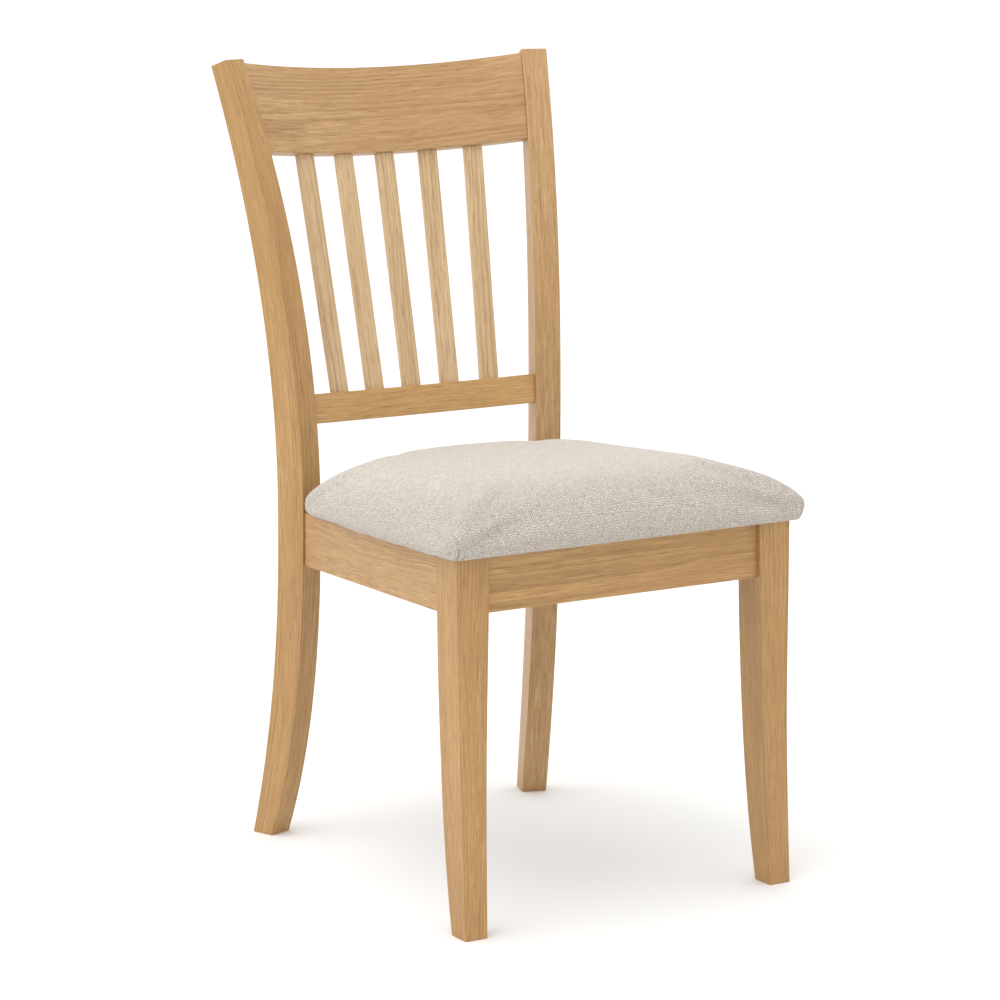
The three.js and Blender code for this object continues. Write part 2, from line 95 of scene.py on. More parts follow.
def barMesh(size, cuts, place, rounding, longAxis=2, endRounding=False):
    bm = bmesh.new()
    bmesh.ops.create_cube(bm, size=1)
    for axis, count in enumerate(cuts):
        if count:
            runs = [e for e in bm.edges if abs((e.verts[1].co - e.verts[0].co)[axis]) > 0.9]
            bmesh.ops.subdivide_edges(bm, edges=runs, cuts=count, use_grid_fill=True)
    bmesh.ops.scale(bm, vec=size, verts=bm.verts)
    arrises = [e for e in bm.edges if e.calc_face_angle(0) > 1]
    if not endRounding:
        end = size[longAxis] * 0.499
        arrises = [e for e in arrises if any(abs(v.co[longAxis]) < end for v in e.verts)]
    bmesh.ops.bevel(
        bm, geom=arrises, offset=rounding, offset_type="OFFSET", segments=3,
        profile=0.5, affect="EDGES", clamp_overlap=True, material=-1,
    )
    grainSpace = bm.verts.layers.float_vector.new("grain")  # the straight bar, so that grain follows the bend
    for v in bm.verts:
        v[grainSpace] = v.co
        v.co = place(*(max(-0.5, min(0.5, part / whole)) for part, whole in zip(v.co, size)))
    return bm


def makePiece(bm, name, material, nodes):
    bmesh.ops.recalc_face_normals(bm, faces=bm.faces)
    for e in bm.edges:
        e.smooth = e.calc_face_angle(0) < math.radians(42)
    for f in bm.faces:
        f.smooth = True
    mesh = bpy.data.meshes.new(name)
    bm.to_mesh(mesh)
    bm.free()
    mesh.materials.append(material)
    piece = bpy.data.objects.new(name, mesh)
    bpy.context.scene.collection.objects.link(piece)
    normals = piece.modifiers.new("flatFaces", "WEIGHTED_NORMAL")
    normals.keep_sharp = True
    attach(piece, "root")
    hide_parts(*nodes)
    return piece


def tint(red, green, blue):
    def linear(value):
        value /= 255
        return value / 12.92 if value <= 0.04045 else ((value + 0.055) / 1.055) ** 2.4

    return (linear(red), linear(green), linear(blue), 1.0)


def addNode(tree, kind, inputs=None, **settings):
    node = tree.nodes.new(kind)
    for key, value in settings.items():
        setattr(node, key, value)
    for key, value in (inputs or {}).items():
        if isinstance(value, bpy.types.NodeSocket):
            tree.links.new(value, node.inputs[key])
        else:
            node.inputs[key].default_value = value
    return node


def calc(tree, operation, first, second=0.0):
    return addNode(tree, "ShaderNodeMath", {0: first, 1: second}, operation=operation).outputs[0]


def calcVector(tree, operation, first, second):
    return addNode(tree, "ShaderNodeVectorMath", {0: first, 1: second}, operation=operation).outputs[0]


def grade(tree, value, low, high, newLow=0.0, newHigh=1.0):
    node = addNode(
        tree, "ShaderNodeMapRange",
        {"Value": value, "From Min": low, "From Max": high, "To Min": newLow, "To Max": newHigh},
        interpolation_type="SMOOTHSTEP",
    )
    return node.outputs[0]


def blendColour(tree, share, first, second):
    node = addNode(tree, "ShaderNodeMix", data_type="RGBA", clamp_factor=True)
    for socket, value in ((node.inputs[0], share), (node.inputs[6], first), (node.inputs[7], second)):
        if isinstance(value, bpy.types.NodeSocket):
            tree.links.new(value, socket)
        else:
            socket.default_value = value
    return node.outputs[2]


def grain(tree, vector, scale, stretch, detail=2.0, roughness=0.5):
    drawn = calcVector(tree, "MULTIPLY", vector, (1, 1, stretch))
    node = addNode(
        tree, "ShaderNodeTexNoise",
        {"Vector": drawn, "Scale": scale, "Detail": detail, "Roughness": roughness},
        noise_dimensions="3D",
    )
    return node.outputs[0]


def newMaterial(name):
    material = bpy.data.materials.new(name)
    material.use_nodes = True
    tree = material.node_tree
    shader = tree.nodes["Principled BSDF"]
    return material, tree, shader


oak = {  # each board gets a material of its own, so that the grain follows it
    "pale": tint(210, 175, 122),
    "light": tint(195, 153, 96),
    "middle": tint(169, 126, 73),
    "dark": tint(130, 92, 48),
    "pore": tint(106, 70, 36),
    "lineDepth": 0.45,
    "fleckDepth": 0.42,
    "poreDepth": 0.34,
    "ringWidth": 0.0034,
    "wander": 0.010,  # how far the rings wander along the board
    "roughness": (0.40, 0.52),
    "coat": 0.07,
    "coatRoughness": 0.32,
    "relief": 0.00016,
}
lowerOak = dict(oak, pale=tint(219, 185, 131), light=tint(210, 168, 109), middle=tint(185, 142, 86))
crestOak = dict(oak, pale=tint(217, 185, 142), light=tint(200, 162, 113), middle=tint(171, 131, 83))
paleOak = dict(oak, pale=tint(231, 204, 169), light=tint(219, 190, 149), middle=tint(195, 162, 118))


def woodMaterial(name, look, along, across, heart, seed, centre=None):
    material, tree, shader = newMaterial(name)
    along = Vector(along).normalized()
    across = (Vector(across) - along * Vector(across).dot(along)).normalized()
    turn = Matrix((across, along.cross(across), along))
    place = Vector((heart[0], heart[1], seed))
    if centre is None:  # the straight bar's own space
        spot = addNode(tree, "ShaderNodeAttribute", attribute_name="grain").outputs["Vector"]
    else:
        spot = addNode(tree, "ShaderNodeTexCoord").outputs["Object"]
        place -= turn @ Vector(centre)
    board = addNode(
        tree, "ShaderNodeMapping",
        {"Vector": spot, "Location": place, "Rotation": turn.to_euler("XYZ")}, vector_type="POINT",
    ).outputs[0]
    drawn = calcVector(tree, "MULTIPLY", board, (1, 1, 0.3))
    drift = addNode(
        tree, "ShaderNodeTexNoise",
        {"Vector": drawn, "Scale": 13, "Detail": 1.5, "Roughness": 0.45},
    ).outputs["Color"]
    drift = calcVector(tree, "SUBTRACT", drift, (0.5, 0.5, 0.5))
    drift = calcVector(tree, "MULTIPLY", drift, (look["wander"],) * 3)
    wood = calcVector(tree, "ADD", board, drift)
    radius = addNode(
        tree, "ShaderNodeVectorMath", {0: calcVector(tree, "MULTIPLY", wood, (1, 1, 0))}, operation="LENGTH",
    ).outputs["Value"]
    uneven = grain(tree, wood, 95, 0.02, 1.0)  # rings of uneven width
    radius = calc(tree, "ADD", radius, calc(tree, "MULTIPLY", uneven, look["ringWidth"] * 1.6))
    ring = calc(tree, "FRACT", calc(tree, "DIVIDE", radius, look["ringWidth"]))
    early = grade(tree, ring, 0.6, 0.0)  # porous part of each ring
    late = calc(tree, "MULTIPLY", grade(tree, ring, 0.0, 0.12, 0.0, 1.0), grade(tree, ring, 0.85, 0.1))
    years = grade(tree, grain(tree, wood, 34, 0.05, 2.0), 0.38, 0.66)
    streak = grain(tree, wood, 320, 0.035, 3.0, 0.6)
    fibre = grain(tree, wood, 800, 0.035, 3.0, 0.65)
    cloud = grain(tree, board, 11, 0.3, 2.0)
    fleck = grade(tree, grain(tree, wood, 640, 0.05, 2.0), 0.54, 0.70)  # soft brown dashes
    gleam = grade(tree, grain(tree, wood, 560, 0.05, 2.0), 0.46, 0.30)
    pores = grade(tree, grain(tree, wood, 1250, 0.05, 1.0), 0.57, 0.68)
    pores = calc(tree, "MULTIPLY", pores, grade(tree, early, 0.1, 0.8, 0.3, 1.0))
    lines = calc(tree, "MULTIPLY", late, grade(tree, years, 0.0, 1.0, 0.15, 1.0))
    shade = calc(tree, "MULTIPLY", grade(tree, streak, 0.32, 0.68), 0.5)
    shade = calc(tree, "ADD", shade, calc(tree, "MULTIPLY", grade(tree, fibre, 0.3, 0.7), 0.4))
    base = blendColour(tree, shade, look["light"], look["middle"])
    base = blendColour(tree, calc(tree, "MULTIPLY", gleam, 0.5), base, look["pale"])
    base = blendColour(tree, calc(tree, "MULTIPLY", lines, look["lineDepth"]), base, look["dark"])
    base = blendColour(tree, grade(tree, cloud, 0.35, 0.7, 0.0, 0.4), base, look["middle"])
    base = blendColour(tree, calc(tree, "MULTIPLY", fleck, look["fleckDepth"]), base, look["dark"])
    base = blendColour(tree, calc(tree, "MULTIPLY", pores, look["poreDepth"]), base, look["pore"])
    tree.links.new(base, shader.inputs["Base Color"])
    matt = grade(tree, fibre, 0.25, 0.75, *look["roughness"])
    matt = calc(tree, "ADD", matt, calc(tree, "MULTIPLY", pores, 0.12))
    tree.links.new(matt, shader.inputs["Roughness"])
    height = calc(tree, "SUBTRACT", calc(tree, "MULTIPLY", fibre, 0.5), pores)
    bump = addNode(
        tree, "ShaderNodeBump", {"Strength": 0.5, "Distance": look["relief"], "Height": height},
    )
    tree.links.new(bump.outputs[0], shader.inputs["Normal"])
    shader.inputs["Coat Weight"].default_value = look["coat"]
    shader.inputs["Coat Roughness"].default_value = look["coatRoughness"]
    return material


def oakFor(name, along, across, heart, seed, look=oak):
    return woodMaterial("oak" + name, look, along, across, heart, seed)


post = {
    "width": 0.0338,
    "depth": 0.0431,
    "toeIn": math.radians(19.4),
    "bend": 0.440,
    "footFlare": 0.016,
    "footKick": 0.055,
    "footThinning": 0.0116,
    "topFlare": 0.0426,
    "topLean": 0.100,
    "topThinning": 0.0159,
    "footFlareCurve": 2.9,
    "topFlareCurve": 1.75,
    "footKickCurve": 2.2,
    "topLeanCurve": 2.1,
    "footThinCurve": 4.2,
    "topThinCurve": 2.4,
    "topCut": 0.0085,  # the back of the sawn top lies lower
    "rounding": 0.0011,
    "stations": 46,
}
leg = {
    "width": 0.0415,
    "depth": 0.0443,
    "taper": 0.0117,
    "sweep": 0.0159,
    "backTaper": 0.0285,
    "taperCurve": 1.15,
    "sweepCurve": 1.9,
    "backCurve": 3.1,
    "headOut": 0.0023,  # the leg swells round the seat frame
    "headFront": 0.0016,
    "headInward": 0.0006,
    "headFrom": 0.10,
    "headTo": 0.65,
    "rounding": 0.0011,
    "stations": 26,
}
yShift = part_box("front_leg_left")[0].y + leg["sweep"]  # from the maker's y = 0 at the front legs


def placed(x, y, z):
    return Vector((x, y + yShift, z))


def postSection(z):
    low = clamp01((post["bend"] - z) / post["bend"])
    high = clamp01((z - post["bend"]) / (chair["height"] - post["bend"]))
    x = (
        chair["postSpacing"] / 2
        + post["footFlare"] * low ** post["footFlareCurve"]
        + post["topFlare"] * high ** post["topFlareCurve"]
    )
    y = (
        chair["frameDepth"]
        + post["footKick"] * low ** post["footKickCurve"]
        + post["topLean"] * high ** post["topLeanCurve"]
    )
    depth = (
        post["depth"]
        - post["footThinning"] * low ** post["footThinCurve"]
        - post["topThinning"] * high ** post["topThinCurve"]
    )
    return x, y, depth


def postPoint(across, back, z):
    x, y, depth = postSection(z)
    a, b = across * post["width"], back * depth
    c, s = math.cos(post["toeIn"]), math.sin(post["toeIn"])
    return x + a * c + b * s, y - a * s + b * c


def innerFaceX(y, z):
    cornerX, cornerY = postPoint(-0.5, -0.5, z)
    return cornerX + (y - cornerY) * math.tan(post["toeIn"])


def frontFaceY(x, z):
    innerX, innerY = postPoint(-0.5, -0.5, z)
    return innerY - (x - innerX) * math.tan(post["toeIn"])


for word, side in sides.items():
    def place(u, v, w, side=side):
        level = w + 0.5
        z = level * chair["height"] - post["topCut"] * (v + 0.5) * level**12
        x, y = postPoint(u * side, v, z)
        return placed(x * side, y, z)

    size = (post["width"], post["depth"], chair["height"])
    bm = barMesh(size, (0, 0, post["stations"]), place, post["rounding"], endRounding=True)
    node = "back_post_" + word.lower()
    look = oak if side < 0 else crestOak
    timber = oakFor("BackPost" + word, (0, 0.012, 1), (1, 0, 0), (0.05 * side, -0.07), 1.3 + side, look)
    makePiece(bm, "backPost" + word, timber, [node])


def legHead(drop):
    return 1 - smoothStep(drop, leg["headFrom"], leg["headTo"])


def innerFace(drop):
    straight = chair["frontWidth"] / 2 - leg["width"] + leg["taper"] * drop ** leg["taperCurve"]
    return straight - leg["headInward"] * legHead(drop)


def legInnerX(z, y=0.0):
    return innerFace(clamp01(1 - z / seatTop(y)))


for word, side in sides.items():
    def place(u, v, w, side=side):
        drop = 0.5 - w
        outer = chair["frontWidth"] / 2 + leg["headOut"] * legHead(drop)
        front = -leg["sweep"] * drop ** leg["sweepCurve"] - leg["headFront"] * legHead(drop)
        y = lerp(front, leg["depth"] - leg["backTaper"] * drop ** leg["backCurve"], v + 0.5)
        return placed(side * lerp(innerFace(drop), outer, u * side + 0.5), y, (1 - drop) * seatTop(y))

    size = (leg["width"], leg["depth"], chair["seatHeight"])
    bm = barMesh(size, (0, 0, leg["stations"]), place, leg["rounding"], endRounding=True)
    node = "front_leg_" + word.lower()
    timber = oakFor("FrontLeg" + word, (0.01, 0.01, 1), (1, 0, 0), (0.06, -0.07 * side), 4.1 + side)
    makePiece(bm, "frontLeg" + word, timber, [node])
print("posts and legs made")

rail = {
    "height": 0.0675,
    "thickness": 0.022,
    "frontSetback": 0.0048,
    "sideInset": 0.0024,
    "behindCorner": 0.003,
    "rounding": 0.001,
    "stations": 6,
}
innerCorner = postPoint(-0.5, -0.5, post["bend"])
outerCorner = postPoint(0.5, -0.5, post["bend"])
rearRailY = innerCorner[1] + rail["behindCorner"] + rail["thickness"] / 2


def sideRailX(y):
    share = (y - leg["depth"]) / (outerCorner[1] - leg["depth"])
    return lerp(chair["frontWidth"] / 2 + leg["headOut"], outerCorner[0], share) - rail["sideInset"]


def frontRailPlace(u, v, w):
    middle = rail["frontSetback"] + rail["thickness"] / 2
    y = middle + v * rail["thickness"]
    z = seatTop(y) if w > 0 else seatTop(middle) - rail["height"]
    return placed(2 * u * (legInnerX(z) - chair["gap"]), y, z)


def rearRailPlace(u, v, w):
    y = rearRailY + v * rail["thickness"]
    z = seatTop(y) - (0.5 - w) * rail["height"]
    return placed(2 * u * (innerFaceX(y, z) - chair["gap"]), y, z)


size = (chair["frontWidth"] - 2 * leg["width"], rail["thickness"], rail["height"])
bm = barMesh(size, (rail["stations"], 0, 0), frontRailPlace, rail["rounding"], longAxis=0)
timber = oakFor("FrontRail", (1, 0, 0.012), (0, 0, 1), (0.02, 0.06), 7.7)
makePiece(bm, "frontRail", timber, ["front_rail"])
size = (chair["postSpacing"] - post["width"], rail["thickness"], rail["height"])
bm = barMesh(size, (rail["stations"], 0, 0), rearRailPlace, rail["rounding"], longAxis=0)
timber = oakFor("RearRail", (1, 0, -0.01), (0, 0, 1), (0.03, 0.07), 8.9)
makePiece(bm, "rearRail", timber, ["rear_rail"])

for word, side in sides.items():
    def place(u, v, w, side=side):
        inward = (0.5 - u * side) * rail["thickness"]
        frontEnd = leg["depth"] + chair["gap"]
        rearX = sideRailX(outerCorner[1]) - inward
        z = seatTop(lerp(frontEnd, outerCorner[1], v + 0.5)) - (0.5 - w) * rail["height"]
        rearEnd = frontFaceY(rearX, z) - chair["gap"]
        y = lerp(frontEnd, rearEnd, v + 0.5)
        return placed(side * (sideRailX(y) - inward), y, seatTop(y) - (0.5 - w) * rail["height"])

    size = (rail["thickness"], outerCorner[1] - leg["depth"], rail["height"])
    bm = barMesh(size, (0, rail["stations"], 0), place, rail["rounding"], longAxis=1)
    node = "side_rail_" + word.lower()
    timber = oakFor("SideRail" + word, (0, 1, -0.01), (0, 0, 1), (0.03, -0.06 * side), 11.3 + side)
    makePiece(bm, "sideRail" + word, timber, [node])
print("seat rails made")

crest = {
    "top": 0.985,
    "bottom": 0.8763,
    "bow": 0.0362,
    "thickness": 0.020,
    "setback": 0.002,
    "rounding": 0.0013,
}
lower = {
    "top": 0.575,
    "bottom": 0.5387,
    "bow": 0.0225,
    "thickness": 0.022,
    "setback": 0.0046,
    "rake": 0.21,
    "rounding": 0.0013,
}


def bowedPoint(across, back, halfWidth, frontY, z, rake, bow):
    tilt = math.atan(rake)
    turn = post["toeIn"] * across
    depth = bow * (1 - across * across) + back * math.cos(turn)
    x = halfWidth * across + back * math.sin(turn)
    return x, frontY + depth * math.cos(tilt), z - depth * math.sin(tilt)


def crestBase(z):
    halfWidth, frontY = postPoint(-0.5, -0.5, z)
    step = 0.001
    rake = (postPoint(-0.5, -0.5, z + step)[1] - postPoint(-0.5, -0.5, z - step)[1]) / (2 * step)
    return halfWidth, frontY + crest["setback"], rake


def lowerBase(z):
    middle = (lower["top"] + lower["bottom"]) / 2
    cornerY = postPoint(-0.5, -0.5, middle)[1]
    frontY = cornerY + lower["setback"] + (z - middle) * lower["rake"]
    return postPoint(-0.5, -0.5, z)[0], frontY, lower["rake"]


def railPoint(size, base, across, back, z):
    halfWidth, frontY, rake = base(z)
    return bowedPoint(across, back, halfWidth, frontY, z, rake, size["bow"])


def bowedRail(size, base, stations, rows):
    def place(u, v, w):
        z = lerp(size["bottom"], size["top"], w + 0.5)
        x, y, z = railPoint(size, base, 2 * u, (v + 0.5) * size["thickness"], z)
        if abs(u) > 0.499:  # the shoulder stands against the post
            x = math.copysign(innerFaceX(y, z) - chair["gap"], u)
        return placed(x, y, z)

    length = 2 * base((size["top"] + size["bottom"]) / 2)[0]
    bar = (length, size["thickness"], size["top"] - size["bottom"])
    return barMesh(bar, (stations, 0, rows), place, size["rounding"], longAxis=0)


timber = oakFor("CrestRail", (1, 0, 0.02), (0, 0, 1), (0.022, 0.05), 15.2, crestOak)
makePiece(bowedRail(crest, crestBase, 39, 7), "crestRail", timber, ["crest_rail"])
timber = oakFor("LowerBackRail", (1, 0, -0.01), (0, 0, 1), (0.05, 0.06), 17.6, lowerOak)
makePiece(bowedRail(lower, lowerBase, 31, 1), "lowerBackRail", timber, ["lower_back_rail"])

slat = {
    "count": 5,
    "width": 0.0243,
    "thickness": 0.0096,
    "topPitch": 0.061,
    "bottomPitch": 0.0542,
    "behindMiddle": 0.0015,
    "rounding": 0.0012,
}


def faceZ(base, z, y):  # height of a rail's sloping edge face at a given y
    frontY, rake = base(z)[1:]
    return z - (y - frontY) * rake


for i in range(slat["count"]):
    order = i - (slat["count"] - 1) / 2
    topAcross = order * slat["topPitch"] / crestBase(crest["bottom"])[0]
    bottomAcross = order * slat["bottomPitch"] / lowerBase(lower["top"])[0]
    topBack = crest["thickness"] / 2 + slat["behindMiddle"]
    bottomBack = lower["thickness"] / 2 + slat["behindMiddle"]
    topEnd = Vector(railPoint(crest, crestBase, topAcross, topBack, crest["bottom"]))
    bottomEnd = Vector(railPoint(lower, lowerBase, bottomAcross, bottomBack, lower["top"]))

    def place(u, v, w):
        centre = bottomEnd.lerp(topEnd, w + 0.5)
        turn = -post["toeIn"] * lerp(bottomAcross, topAcross, w + 0.5)
        a, b = u * slat["width"], v * slat["thickness"]
        x = centre.x + a * math.cos(turn) - b * math.sin(turn)
        y = centre.y + a * math.sin(turn) + b * math.cos(turn)
        z = centre.z
        if w > 0.499:
            z = faceZ(crestBase, crest["bottom"], y) - chair["gap"]
        if w < -0.499:
            z = faceZ(lowerBase, lower["top"], y) + chair["gap"]
        return placed(x, y, z)

    size = (slat["width"], slat["thickness"], (topEnd - bottomEnd).length)
    bm = barMesh(size, (0, 0, 3), place, slat["rounding"])
    node = f"back_slat_{i + 1}"
    heart = (0.03 + 0.01 * i, 0.05 + 0.012 * i)
    timber = oakFor(f"BackSlat{i + 1}", (0.008, 0, 1), (1, 0, 0), heart, 20.5 + i, paleOak)
    makePiece(bm, f"backSlat{i + 1}", timber, [node])
print("back made")

pad = {
    "frontHalf": 0.254,
    "rearHalf": 0.206,
    "front": -0.021,
    "rear": 0.442,
    "rearBow": 0.037,  # between the posts, over the rear rail
    "bowHalf": 0.151,
    "frontCorner": 0.020,
    "rearCorner": 0.046,
    "edge": 0.038,
    "dome": 0.046,
    "hemLift": 0.0014,
    "roll": 0.0024,  # the lip hangs this far below the top of the frame
    "outlinePoints": 144,
    "grow": 0.003,  # how much larger the form starts round its wall
    "lowDome": 0.585,  # the share of the dome that the form starts with
    "rimCurve": 3.75,
    "domeCurve": 7.5,
    "lipShares": (0.958, 0.978),  # of the way from the middle to the rim
    "lipFade": (0.24, 0.35),  # it ends before the rear corners
    "lipRise": 0.016,
    "pinnedBelow": 0.002,
    "pinFade": 0.008,
    "voxel": 0.0049,
    "pressure": 4.0,
    "frames": 20,
    "mostMove": 0.0125,
}
padCentre = (0.0, (pad["front"] + pad["rear"]) / 2)


def bend(a, b, c, steps=12):  # points of a quadratic curve
    return [a.lerp(b, t / steps).lerp(b.lerp(c, t / steps), t / steps) for t in range(steps)]


def padOutline():
    fh, rh, f, r = pad["frontHalf"], pad["rearHalf"], pad["front"], pad["rear"]
    lean = (fh - rh) / (r - f)
    fc, rc = pad["frontCorner"], pad["rearCorner"]
    half = bend(Vector((fh - fc, f)), Vector((fh, f)), Vector((fh - lean * fc, f + fc)))
    half += bend(Vector((fh - lean * (r - rc - f), r - rc)), Vector((rh, r)), Vector((rh - rc, r)))
    back = []
    for step in range(40):
        t = step / 40
        x = (rh - rc) * ((1 - t) ** 3 - t**3) + 3 * pad["bowHalf"] * t * (1 - t) * (1 - 2 * t)
        back.append(Vector((x, r + 4 * pad["rearBow"] * t * (1 - t))))
    path = half + back + [Vector((-p.x, p.y)) for p in reversed(half)]
    path.append(path[0])
    reach = [0.0]
    for a, b in zip(path, path[1:]):
        reach.append(reach[-1] + (b - a).length)
    points, at = [], 0
    for i in range(pad["outlinePoints"]):
        want = reach[-1] * i / pad["outlinePoints"]
        while reach[at + 1] < want:
            at += 1
        points.append(path[at].lerp(path[at + 1], (want - reach[at]) / (reach[at + 1] - reach[at])))
    return points


def padHeight(share, fullness):
    rim = 0.5 + 0.5 * math.sqrt(max(0.0, 1 - share ** pad["rimCurve"]))
    return pad["edge"] * rim + pad["dome"] * fullness * (1 - share ** pad["domeCurve"])


def padForm():
    outline = padOutline()
    shares = [0.001, 0.15, 0.3, 0.45, 0.58, 0.7, 0.8, 0.88, 0.94, 0.975, 0.993]
    profile = [(s, padHeight(s, pad["lowDome"])) for s in shares]
    profile += [(1, pad["edge"] * 0.5), (0.996, pad["edge"] * 0.25), (0.972, 0.0), (0.5, 0.0), (0.001, 0.0)]
    bm = bmesh.new()
    verts = [bm.verts.new((s, 0, h)) for s, h in profile]
    edges = [bm.edges.new(pair) for pair in zip(verts, verts[1:])]
    bmesh.ops.spin(
        bm, geom=verts + edges, cent=(0, 0, 0), axis=(0, 0, 1), angle=2 * math.pi,
        steps=pad["outlinePoints"], use_merge=True, use_duplicate=False,
    )
    bmesh.ops.remove_doubles(bm, verts=bm.verts, dist=1e-6)
    bmesh.ops.holes_fill(bm, edges=[e for e in bm.edges if e.is_boundary], sides=0)
    for v in bm.verts:
        share = math.hypot(v.co.x, v.co.y)
        step = round(math.atan2(v.co.y, v.co.x) / (2 * math.pi) * pad["outlinePoints"]) % pad["outlinePoints"]
        rim = outline[step] - Vector(padCentre)
        rim += rim.normalized() * pad["grow"] * clamp01(v.co.z / 0.010)
        x, y = padCentre[0] + rim.x * share, padCentre[1] + rim.y * share
        v.co = placed(x, y, seatTop(y) + pad["hemLift"] + v.co.z)
    bmesh.ops.recalc_face_normals(bm, faces=bm.faces)
    return bm


def hangLip(mesh):  # draws the wall's lower edge down past the top of the frame
    rims = sorted((math.atan2(p.y - padCentre[1], p.x), (p - Vector(padCentre)).length) for p in padOutline())
    angles = [angle for angle, reach in rims]
    for v in mesh.vertices:
        x, y = v.co.x, v.co.y - yShift - padCentre[1]
        after = bisect.bisect(angles, math.atan2(y, x))
        (a, first), (b, second) = rims[after - 1], rims[after % len(rims)]
        reach = lerp(first, second, clamp01((math.atan2(y, x) - a) / ((b - a) % (2 * math.pi))))
        inside = math.hypot(x, y) / reach
        rise = v.co.z - seatTop(v.co.y - yShift) - pad["hemLift"]
        hang = smoothStep(inside, *pad["lipShares"]) * (1 - smoothStep(v.co.y - yShift, *pad["lipFade"]))
        v.co.z -= (pad["roll"] + pad["hemLift"]) * hang * (1 - smoothStep(rise, 0.0, pad["lipRise"]))


def evaluatedCopy(piece):
    bpy.context.view_layer.update()
    return bpy.data.meshes.new_from_object(piece.evaluated_get(bpy.context.evaluated_depsgraph_get()))


def padMesh():
    bm = padForm()
    mesh = bpy.data.meshes.new("padForm")
    bm.to_mesh(mesh)
    bm.free()
    form = bpy.data.objects.new("padForm", mesh)
    bpy.context.scene.collection.objects.link(form)
    skin = form.modifiers.new("remesh", "REMESH")
    skin.mode = "VOXEL"
    skin.voxel_size = pad["voxel"]
    fine = evaluatedCopy(form)
    form.modifiers.clear()
    form.data = fine
    start = [v.co.copy() for v in fine.vertices]
    pins = form.vertex_groups.new(name="onFrame")
    for v in fine.vertices:
        rise = v.co.z - seatTop(v.co.y - yShift) - pad["hemLift"]
        hold = 1 - clamp01((rise - pad["pinnedBelow"]) / pad["pinFade"])
        if hold > 0:
            pins.add([v.index], hold, "REPLACE")
    cloth = form.modifiers.new("cloth", "CLOTH")
    cloth.settings.quality = 6
    cloth.settings.mass = 0.3
    cloth.settings.tension_stiffness = 25
    cloth.settings.compression_stiffness = 25
    cloth.settings.shear_stiffness = 12
    cloth.settings.bending_stiffness = 3
    cloth.settings.use_pressure = True
    cloth.settings.uniform_pressure_force = pad["pressure"]
    cloth.settings.effector_weights.gravity = 0
    cloth.settings.vertex_group_mass = "onFrame"
    cloth.settings.pin_stiffness = 1
    cloth.collision_settings.use_collision = False
    cloth.point_cache.frame_end = pad["frames"]
    for number in range(1, pad["frames"] + 1):
        bpy.context.scene.frame_set(number)
    swollen = evaluatedCopy(form)
    moves = [v.co - s for v, s in zip(swollen.vertices, start)]
    print("pad swells by up to", round(max(m.length for m in moves) * 1000, 1), "mm")
    form.modifiers.clear()
    for v, s, move in zip(fine.vertices, start, moves):
        length = move.length
        if length > pad["mostMove"]:
            move = move * (pad["mostMove"] / length)
        v.co = s + move
    bpy.context.scene.frame_set(1)
    result = form.data
    bpy.data.objects.remove(form)
    return result


cloth = {
    "light": tint(224, 216, 206),
    "middle": tint(212, 203, 193),
    # gap: painted shade between the pebbles
    "gap": tint(118, 106, 90),
    "fleck": tint(186, 168, 146),
    # the colour of the painted shade in the front corner folds
    "foldShade": tint(104, 92, 78),
    "topFrom": 0.62,
    "pitch": 0.0025,
    "gapShadeDepth": (0.24, 0.62),  # painted shade in the gaps, on the crown and round the wall
    "gapShadeHeights": (0.030, -0.022),  # the same, from the pad's edge
    "lean": 0.10,  # the painted gap shade deepens toward the front
    "relief": 0.0009,
    "sheen": 0.2,
}
pleats = [  # folds at the front corners, drawn as painted shade and a dent in the bump: distance in from the corner along the front, height, half-width
    (0.012, 0.017, 0.0003),
    (0.019, 0.010, 0.0002),
]


def choose(tree, mask, first, second):
    return calc(tree, "ADD", first, calc(tree, "MULTIPLY", mask, calc(tree, "SUBTRACT", second, first)))


def layFlat(tree, place):  # the weave seen square on from the top, the front or the side
    normal = addNode(tree, "ShaderNodeNewGeometry").outputs["Normal"]
    facing = addNode(tree, "ShaderNodeSeparateXYZ", {0: normal}).outputs
    x, y, z = (calc(tree, "ABSOLUTE", part) for part in facing)
    upward = calc(tree, "GREATER_THAN", z, cloth["topFrom"])
    frontal = calc(tree, "GREATER_THAN", y, x)
    across = choose(tree, calc(tree, "MAXIMUM", upward, frontal), place[1], place[0])
    along = choose(tree, upward, place[2], place[1])
    return addNode(tree, "ShaderNodeCombineXYZ", {0: across, 1: along}).outputs[0]


